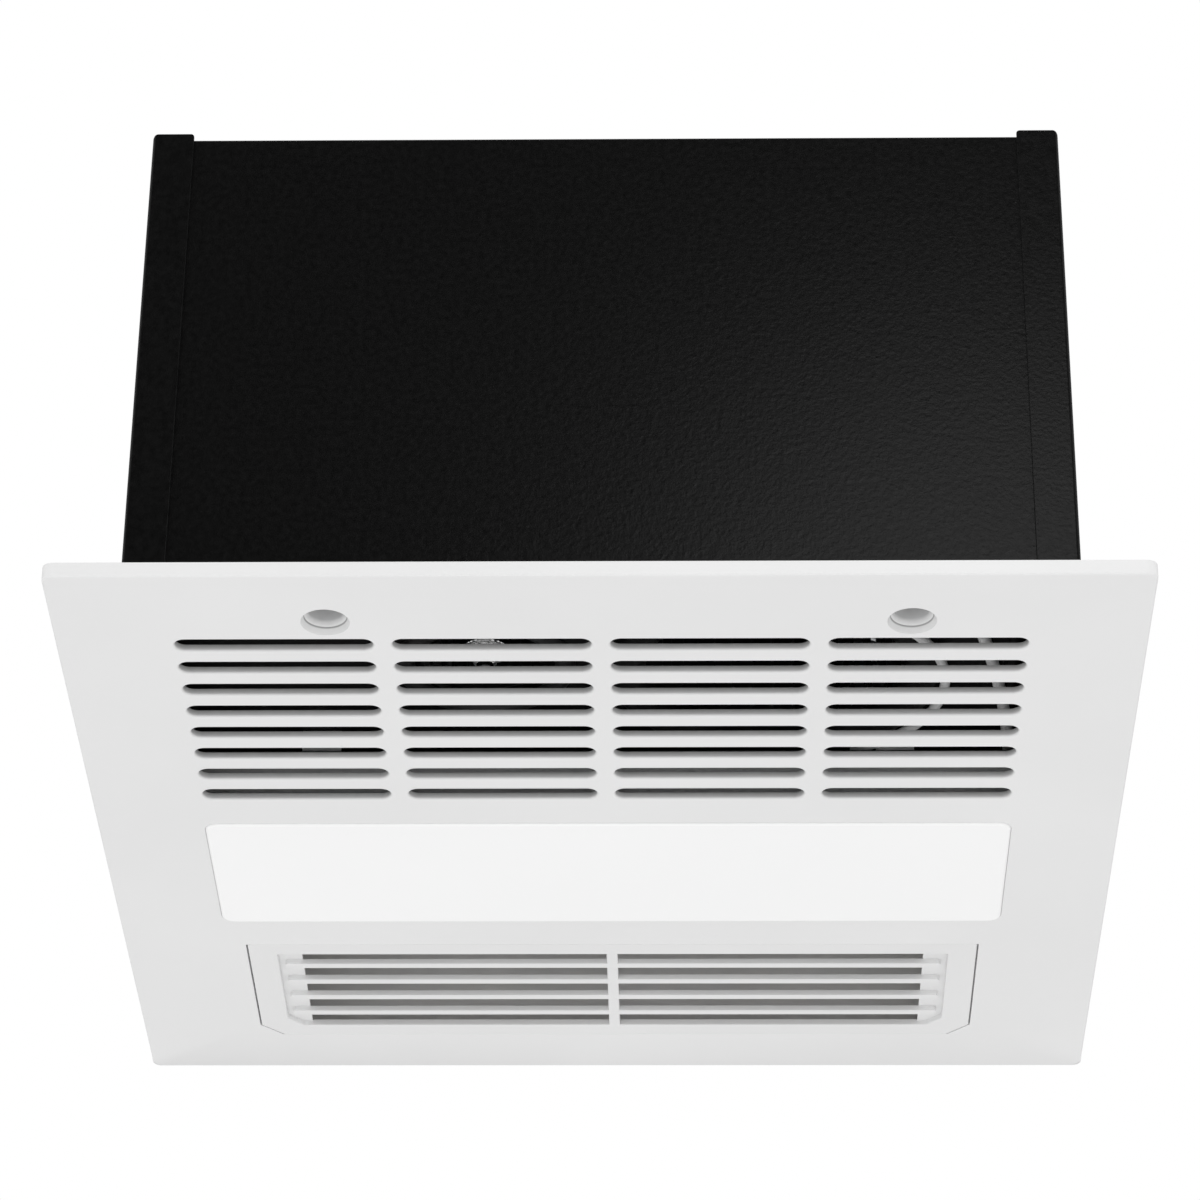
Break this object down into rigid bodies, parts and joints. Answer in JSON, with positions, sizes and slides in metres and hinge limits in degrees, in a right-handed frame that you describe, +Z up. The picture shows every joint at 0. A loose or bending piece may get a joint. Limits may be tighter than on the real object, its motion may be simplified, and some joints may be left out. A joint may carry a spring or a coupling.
{
  "type": "bathroom heater exhaust fan",
  "caption": "Ceiling bathroom unit with exhaust blower, warm-air heater and light in a sheet-metal box, behind a slotted face panel that swings down on hinges.",
  "frame": {"origin": "centre of the unit on the ceiling surface, which is the plane where the panel's rim and the mounting flange meet the ceiling", "axes": "+Z up into the ceiling void, -Y towards the intake slots and panel screws, +Y towards the warm-air louvre and the duct collar, +X towards the exhaust blower"},
  "size_m": [0.4, 0.417, 0.2175],
  "materials": {
    "panel_plastic": "satin white",
    "louvre_plastic": "satin white",
    "opal_lens": "opal",
    "black_powder_coat": "fine powder coat",
    "black_deck_paint": "matte",
    "galvanised_steel": "galvanised",
    "zinc_steel": "zinc plated",
    "bright_steel": "ground",
    "spring_steel": "phosphated",
    "motor_steel": "satin",
    "heat_steel": "heat resistant matte",
    "inlet_steel": "satin",
    "black_scroll_plastic": "matte",
    "black_wheel_plastic": "satin",
    "chrome_nut": "polished",
    "damper_aluminium": "mill",
    "fin_aluminium": "mill",
    "heater_ceramic": "fired",
    "heat_plastic": "glass filled",
    "bakelite": "moulded",
    "tray_grey": "satin",
    "board_white": "solder mask",
    "emitter_yellow": "phosphor",
    "driver_plastic": "satin",
    "terminal_plastic": "moulded",
    "capacitor_plastic": "satin"
  },
  "bodies": {
    "housing": {"housing_wrap": "black_powder_coat", "left_end_panel": "black_powder_coat", "right_end_panel": "black_powder_coat", "mounting_flange": "galvanised_steel", "hinge_knuckles": "zinc_steel", "hinge_pins": "zinc_steel", "screw_brackets": "galvanised_steel", "clip_nuts": "spring_steel", "housing_screws": "zinc_steel", "blower_deck": "black_deck_paint", "exhaust_inlet_ring": "inlet_steel", "exhaust_scroll": "black_scroll_plastic", "exhaust_motor": "motor_steel", "exhaust_duct": "galvanised_steel", "duct_collar": "galvanised_steel", "damper_pin": "bright_steel", "heater_inlet_ring": "black_scroll_plastic", "heater_scroll": "heat_steel", "heater_motor": "motor_steel", "heater_duct": "galvanised_steel", "motor_nuts": "zinc_steel", "warm_plenum": "galvanised_steel", "heating_bars": "heater_ceramic", "heating_fins": "fin_aluminium", "core_brackets": "heat_plastic", "wire_guard": "bright_steel", "thermal_cutout": "bakelite", "light_tray": "tray_grey", "light_board": "board_white", "light_emitters": "emitter_yellow", "light_driver": "driver_plastic", "junction_box": "galvanised_steel", "junction_cover": "galvanised_steel", "cable_clamp": "zinc_steel", "terminal_block": "terminal_plastic", "run_capacitor": "capacitor_plastic", "capacitor_strap": "galvanised_steel"},
    "panel": {"face_panel": "panel_plastic", "warm_louvre": "louvre_plastic", "diffuser_lens": "opal_lens", "lens_retainers": "zinc_steel", "panel_screws": "zinc_steel"},
    "exhaust_rotor": {"exhaust_impeller": "black_wheel_plastic", "exhaust_wheel_rim": "black_wheel_plastic", "exhaust_wheel_hub": "black_wheel_plastic", "exhaust_shaft": "bright_steel"},
    "heater_rotor": {"heater_impeller": "black_wheel_plastic", "heater_wheel_rim": "black_wheel_plastic", "heater_wheel_hub": "black_wheel_plastic", "heater_shaft": "bright_steel", "heater_shaft_nut": "chrome_nut"},
    "damper": {"damper_flap": "damper_aluminium"}
  },
  "joints": [
    {"name": "panel_swing", "type": "hinge", "parent": "housing", "child": "panel", "pos_m": [0, 0.197, -0.003], "axis": [1, 0, 0], "range_deg": [0, 80]},
    {"name": "exhaust_spin", "type": "hinge", "parent": "housing", "child": "exhaust_rotor", "pos_m": [0.0655, -0.07, 0.1], "axis": [0, 0, 1], "continuous": true},
    {"name": "heater_spin", "type": "hinge", "parent": "housing", "child": "heater_rotor", "pos_m": [-0.0465, -0.072, 0.08], "axis": [0, 0, 1], "continuous": true},
    {"name": "damper_swing", "type": "hinge", "parent": "housing", "child": "damper", "pos_m": [0.1, 0.184, 0.163], "axis": [1, 0, 0], "range_deg": [0, 70]}
  ]
}
